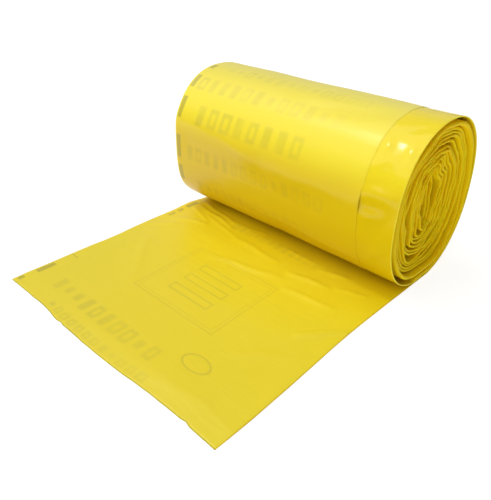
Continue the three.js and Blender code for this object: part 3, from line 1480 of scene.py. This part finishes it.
@dataclass(frozen=True)
class WebMarks:
    """Where the print and the creases lie on the leading bag."""

    sizes: RollSizes
    winding: Winding

    def floor(self, to_roll: float) -> float:
        """How far along the web a place on the tail lies, from its distance to the roll's axis."""
        return self.sizes.tail_reach - to_roll

    def front(self, degrees: float) -> float:
        """How far along the web a place on the roll lies, from its angle to the back."""
        return self.sizes.tail_reach + self.winding.arc(degrees)

    def rows(self) -> list[PrintRow]:
        """The faint rows, on the tail, up the roll's front and down its back."""
        return [
            PrintRow(self.floor(0.255), -0.112, 0.034, 0.0085, 0.0155, 0.22, 3.0),
            PrintRow(self.floor(0.2785), -0.084, 0.050, 0.0040, 0.0120, 0.22, 11.0),
            PrintRow(self.floor(0.056), -0.072, 0.060, 0.0060, 0.0105, 0.20, 21.0),
            PrintRow(self.front(206.0), -0.124, 0.052, 0.0075, 0.0130, 0.15, 5.0),
            PrintRow(self.front(180.0), -0.132, 0.066, 0.0080, 0.0140, 0.18, 33.0),
            PrintRow(self.front(151.0), -0.126, 0.030, 0.0105, 0.0190, 0.22, 47.0),
            PrintRow(self.front(123.0), -0.134, 0.060, 0.0085, 0.0165, 0.16, 58.0),
            PrintRow(self.front(99.0), -0.120, 0.066, 0.0075, 0.0145, 0.12, 71.0),
            PrintRow(self.front(72.0), -0.126, 0.044, 0.0085, 0.0165, 0.14, 83.0),
            PrintRow(self.front(41.0), -0.130, 0.058, 0.0075, 0.0140, 0.14, 91.0),
            PrintRow(self.front(12.0), -0.116, 0.036, 0.0100, 0.0185, 0.16, 104.0),
            PrintRow(self.front(-18.0), -0.122, 0.052, 0.0075, 0.0145, 0.14, 117.0),
        ]

    def bars(self) -> list[PrintBar]:
        """The dark bars near the web's left edge, on the tail and then all round the roll.

        Returns:
            The bars.
        """
        bars = [
            PrintBar(-0.1387, self.floor(0.2775), 0.0024, 0.0032),
            PrintBar(-0.1371, self.floor(0.2505), 0.0031, 0.0105),
            PrintBar(-0.1355, self.floor(0.2185), 0.0062, 0.0007, 0.40),
            PrintBar(-0.1352, self.floor(0.0890), 0.0026, 0.0048, 0.40),
            PrintBar(-0.1352, self.floor(0.0758), 0.0026, 0.0040, 0.45),
            PrintBar(-0.1350, self.floor(0.0573), 0.0033, 0.0085),
        ]
        seen = ((96.0, 103.0), (115.0, 129.0), (138.6, 157.0), (170.0, 185.0), (191.0, 204.0))
        behind = ((-52.0, -41.0), (-24.0, -9.0), (2.0, 14.0), (26.0, 44.0), (62.0, 74.0))
        for first, last in seen + behind:
            start, end = self.front(first), self.front(last)
            bars.append(PrintBar(-0.1375, (start + end) / 2.0, 0.0032, (end - start) / 2.0))
        return bars

    def outlines(self) -> list[PrintOutline]:
        """The large double frame with plain bars in it, and the small oval.

        Returns:
            The outlines.
        """
        centre = self.floor(0.160)
        outlines = [
            PrintOutline(0.003, centre, 0.054, 0.045, 0.0005, 0.22),
            PrintOutline(0.003, centre, 0.050, 0.041, 0.0004, 0.16),
            PrintOutline(0.074, self.floor(0.238), 0.014, 0.009, 0.0007, 0.30, oval=True),
        ]
        for step in (-1.0, 0.0, 1.0):
            outlines.append(PrintOutline(0.003, centre + 0.020 * step, 0.026, 0.0045, 0.0009, 0.22))
        return outlines

    def creases(self) -> list[Crease]:
        """All the creases of the leading bag."""
        return self.tail_wrinkles() + self.front_folds() + self.band_dents()

    def tail_wrinkles(self) -> list[Crease]:
        """The wrinkles of the tail, most of them near the roll."""
        floor = self.floor
        return [
            Crease((-0.130, floor(0.043)), (-0.100, floor(0.048)), 0.0026, 0.0021),
            Crease((-0.100, floor(0.048)), (-0.066, floor(0.054)), 0.0026, 0.0015),
            Crease((-0.122, floor(0.053)), (-0.060, floor(0.063)), 0.0028, 0.0012),
            Crease((-0.118, floor(0.092)), (-0.088, floor(0.078)), 0.0032, 0.0017),
            Crease((-0.064, floor(0.050)), (-0.024, floor(0.046)), 0.0028, 0.0009),
            Crease((-0.040, floor(0.074)), (0.022, floor(0.080)), 0.0032, 0.0012),
            Crease((0.016, floor(0.050)), (0.054, floor(0.055)), 0.0028, 0.0006),
            Crease((0.066, floor(0.060)), (0.092, floor(0.054)), 0.0028, 0.0012),
            Crease((0.048, floor(0.087)), (0.088, floor(0.078)), 0.0032, 0.0016),
            Crease((0.098, floor(0.072)), (0.122, floor(0.064)), 0.0028, 0.0012),
            Crease((-0.132, floor(0.062)), (-0.092, floor(0.070)), 0.0022, 0.0010),
            Crease((-0.104, floor(0.060)), (-0.044, floor(0.074)), 0.0022, 0.0009),
            Crease((-0.138, floor(0.124)), (-0.112, floor(0.104)), 0.0030, 0.0015),
            Crease((0.112, floor(0.152)), (0.139, floor(0.122)), 0.0034, 0.0014),
            Crease((0.062, floor(0.108)), (0.112, floor(0.104)), 0.0036, 0.0012),
            Crease((-0.030, floor(0.116)), (0.045, floor(0.100)), 0.0040, 0.0011),
            Crease((-0.110, floor(0.146)), (-0.060, floor(0.200)), 0.0060, 0.0006),
            Crease((0.080, floor(0.214)), (0.128, floor(0.176)), 0.0060, 0.0006),
        ]

    def front_folds(self) -> list[Crease]:
        """The long crease lines and soft swells of the roll's front."""
        front = self.front
        return [
            Crease((-0.136, front(157.0)), (-0.072, front(161.5)), 0.0040, 0.0009),
            Crease((-0.072, front(161.5)), (-0.018, front(169.0)), 0.0040, 0.0012),
            Crease((-0.018, front(169.0)), (0.088, front(171.0)), 0.0044, 0.0006),
            Crease((-0.150, front(158.0)), (-0.030, front(166.0)), 0.0150, 0.0022),
            Crease((-0.030, front(166.0)), (0.090, front(170.0)), 0.0150, 0.0026),
            Crease((-0.120, front(176.0)), (0.050, front(184.0)), 0.0110, -0.0014),
            Crease((-0.060, front(200.0)), (0.090, front(209.0)), 0.0090, 0.0014),
            Crease((0.020, front(118.0)), (0.100, front(104.0)), 0.0100, -0.0012),
        ]

    def band_dents(self) -> list[Crease]:
        """The small bumps and dents of the clear band beside the flap."""
        front = self.front
        return [
            Crease((0.108, front(164.0)), (0.134, front(162.0)), 0.0055, 0.0024),
            Crease((0.112, front(171.5)), (0.126, front(169.5)), 0.0040, -0.0018),
            Crease((0.108, front(179.0)), (0.121, front(173.0)), 0.0048, 0.0018),
            Crease((0.126, front(182.0)), (0.138, front(172.0)), 0.0046, -0.0010),
            Crease((0.112, front(127.0)), (0.114, front(136.0)), 0.0042, 0.0011),
            Crease((0.134, front(128.0)), (0.136, front(138.0)), 0.0042, 0.0011),
            Crease((0.122, front(139.0)), (0.126, front(144.0)), 0.0036, 0.0009),
            Crease((0.112, front(145.0)), (0.118, front(141.0)), 0.0034, 0.0009),
            Crease((0.124, front(113.0)), (0.137, front(107.0)), 0.0044, -0.0010),
            Crease((0.118, front(205.0)), (0.132, front(193.0)), 0.0050, 0.0012),
        ]


def declare(piece: bpy.types.Object, finishes: list[bpy.types.Material]) -> None:
    """Gives a piece its materials and hangs it on the object's body.

    Args:
        piece: the new piece.
        finishes: its materials, in the order that its faces number them.
    """
    for material in finishes:
        piece.data.materials.append(material)
    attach(piece, BODY)
    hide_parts(CAD_NODE)
    LOG.info("%s has %d faces", piece.name, len(piece.data.polygons))


def main() -> None:
    """Builds the studio and the pieces of the roll."""
    logging.basicConfig(level=logging.INFO, format="%(name)s: %(message)s")
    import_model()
    bpy.context.scene.view_settings.view_transform = "Standard"
    low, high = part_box(CAD_NODE)
    sizes = RollSizes()
    place = Place(middle=low.x + sizes.web_width / 2.0, axis=high.y - sizes.depth / 2.0)
    studio = Studio()
    studio.camera(place)
    studio.floor()
    studio.lights()

    winding = Winding(sizes)
    marks = WebMarks(sizes, winding)
    relief = FilmRelief(winding, marks.creases())
    web_ply = Ply(
        thickness=sizes.stack - sizes.flap_ply,
        under=sizes.flap_ply,
        shortfall=0.0,
        section=Section(flat_columns=118, fold_steps=6),
        cut_seed=1.7,
        cut_back=0.0001,
    )
    flap_ply = Ply(
        thickness=sizes.flap_ply,
        under=0.0,
        shortfall=sizes.flap_shortfall,
        section=Section(flat_columns=100, fold_steps=4),
        cut_seed=5.1,
        cut_back=0.0010,
    )
    leading = LeadingBag("leading_bag", winding, place, relief, web_ply)
    flap = LeadingBag("outer_flap", winding, place, relief, flap_ply)
    turns = WoundTurns("wound_turns", winding, place, relief)

    creases = creased_group()
    ink = InkMask(PrintGroups(), marks.rows(), marks.bars(), marks.outlines())
    printed = FilmFinish("printed_film").material(creases, sizes, ink)
    # The wound turns' film is darker and more orange than the outside's: partly the deeper tone of the
    # stacked film seen edge on, partly painted shade for the roll's end face.
    inner = FilmFinish(
        "inner_film",
        deep=(0.83, 0.575, 0.003, 1.0),
        haze_and_reflection_tone=(0.85, 0.63, 0.005, 1.0),
        roughness=0.45,
        specular=0.02,
        glow=0.6,
        outside=False,
    )
    plain = inner.material(creases, sizes)
    clear = FilmFinish("clear_film", roughness=0.19, specular=0.34).material(creases, sizes)
    for web, finishes in ((leading, [printed, clear]), (flap, [printed]), (turns, [plain])):
        piece = web.build()
        declare(piece, finishes)

    bpy.context.view_layer.update()


if __name__ == "__main__":
    main()
